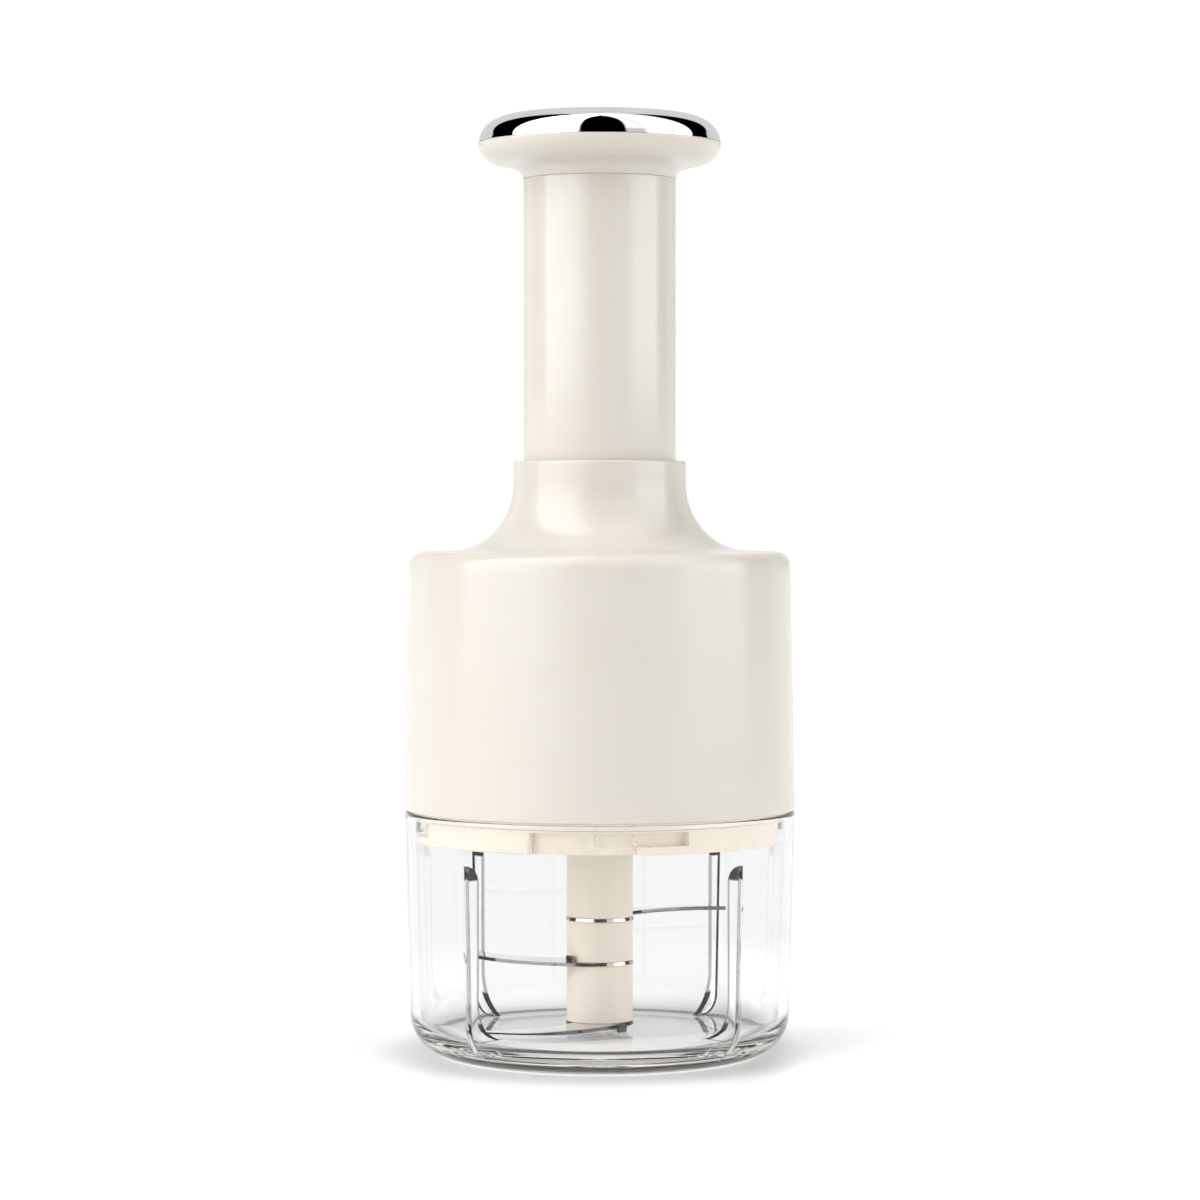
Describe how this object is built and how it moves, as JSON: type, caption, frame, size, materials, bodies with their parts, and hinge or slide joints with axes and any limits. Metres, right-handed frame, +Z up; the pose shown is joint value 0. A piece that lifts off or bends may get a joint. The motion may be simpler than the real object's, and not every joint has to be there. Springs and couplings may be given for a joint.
{
  "type": "plunger food chopper",
  "caption": "Hand-press food chopper: clear ribbed bowl under a twist-lock head, with a domed-knob plunger that spins a column of curved blades.",
  "frame": {"origin": "centre of the bowl's underside, on the surface it stands on", "axes": "+Z up along the plunger's axis, -Y towards the front as pictured, +X to the right"},
  "size_m": [0.095, 0.095, 0.2277],
  "materials": {
    "clear_bowl": "clear moulded plastic, polished",
    "cream_shell": "pearly gloss, warm white",
    "cream_column": "smooth satin, warm white",
    "white_inner": "moulded bearing plastic",
    "chrome_cap": "mirror plated",
    "blade_steel": "polished stainless with ground edges",
    "plain_steel": "bright zinc",
    "seal_rubber": "soft warm-white silicone"
  },
  "bodies": {
    "bowl_body": {"bowl": "clear_bowl"},
    "seal_body": {"lid_seal": "seal_rubber"},
    "head": {"body_housing": "cream_shell", "lid_base": "cream_shell", "neck_bush": "white_inner", "guide_sleeve": "white_inner", "nut_cage": "white_inner", "spring_sleeve": "white_inner", "thrust_washer": "plain_steel", "return_spring": "plain_steel", "lid_screws": "plain_steel", "cage_screws": "plain_steel"},
    "handle": {"knob_cap": "chrome_cap", "knob_base": "cream_shell", "handle_tube": "cream_shell", "stop_ring": "white_inner", "drive_screw": "plain_steel", "screw_holder": "white_inner", "holder_screws": "plain_steel", "screw_pin": "plain_steel"},
    "rotor": {"drive_nut": "white_inner", "column_top": "cream_column", "column_mid": "cream_column", "column_low": "cream_column", "core_tube": "white_inner", "blade_top": "blade_steel", "blade_mid": "blade_steel", "blade_low": "blade_steel", "pivot_bush": "white_inner"}
  },
  "joints": [
    {"name": "head_lift", "type": "slide", "parent": "bowl_body", "child": "seal_body", "axis": [0, 0, 1], "range_m": [0, 0.08]},
    {"name": "head_twist", "type": "hinge", "parent": "seal_body", "child": "head", "pos_m": [0, 0, 0.058], "axis": [0, 0, 1], "range_deg": [-16, 0]},
    {"name": "handle_press", "type": "slide", "parent": "head", "child": "handle", "axis": [0, 0, -1], "range_m": [0, 0.054], "stiffness_N_per_m": 300, "springref_m": -0.03, "deforming": ["return_spring"]},
    {"name": "blade_spin", "type": "hinge", "parent": "head", "child": "rotor", "pos_m": [0, 0, 0.03], "axis": [0, 0, 1], "range_deg": [0, 655]}
  ],
  "couplings": [
    {"joint": "blade_spin", "follows": "handle_press", "rad_per_m": 209.44}
  ]
}
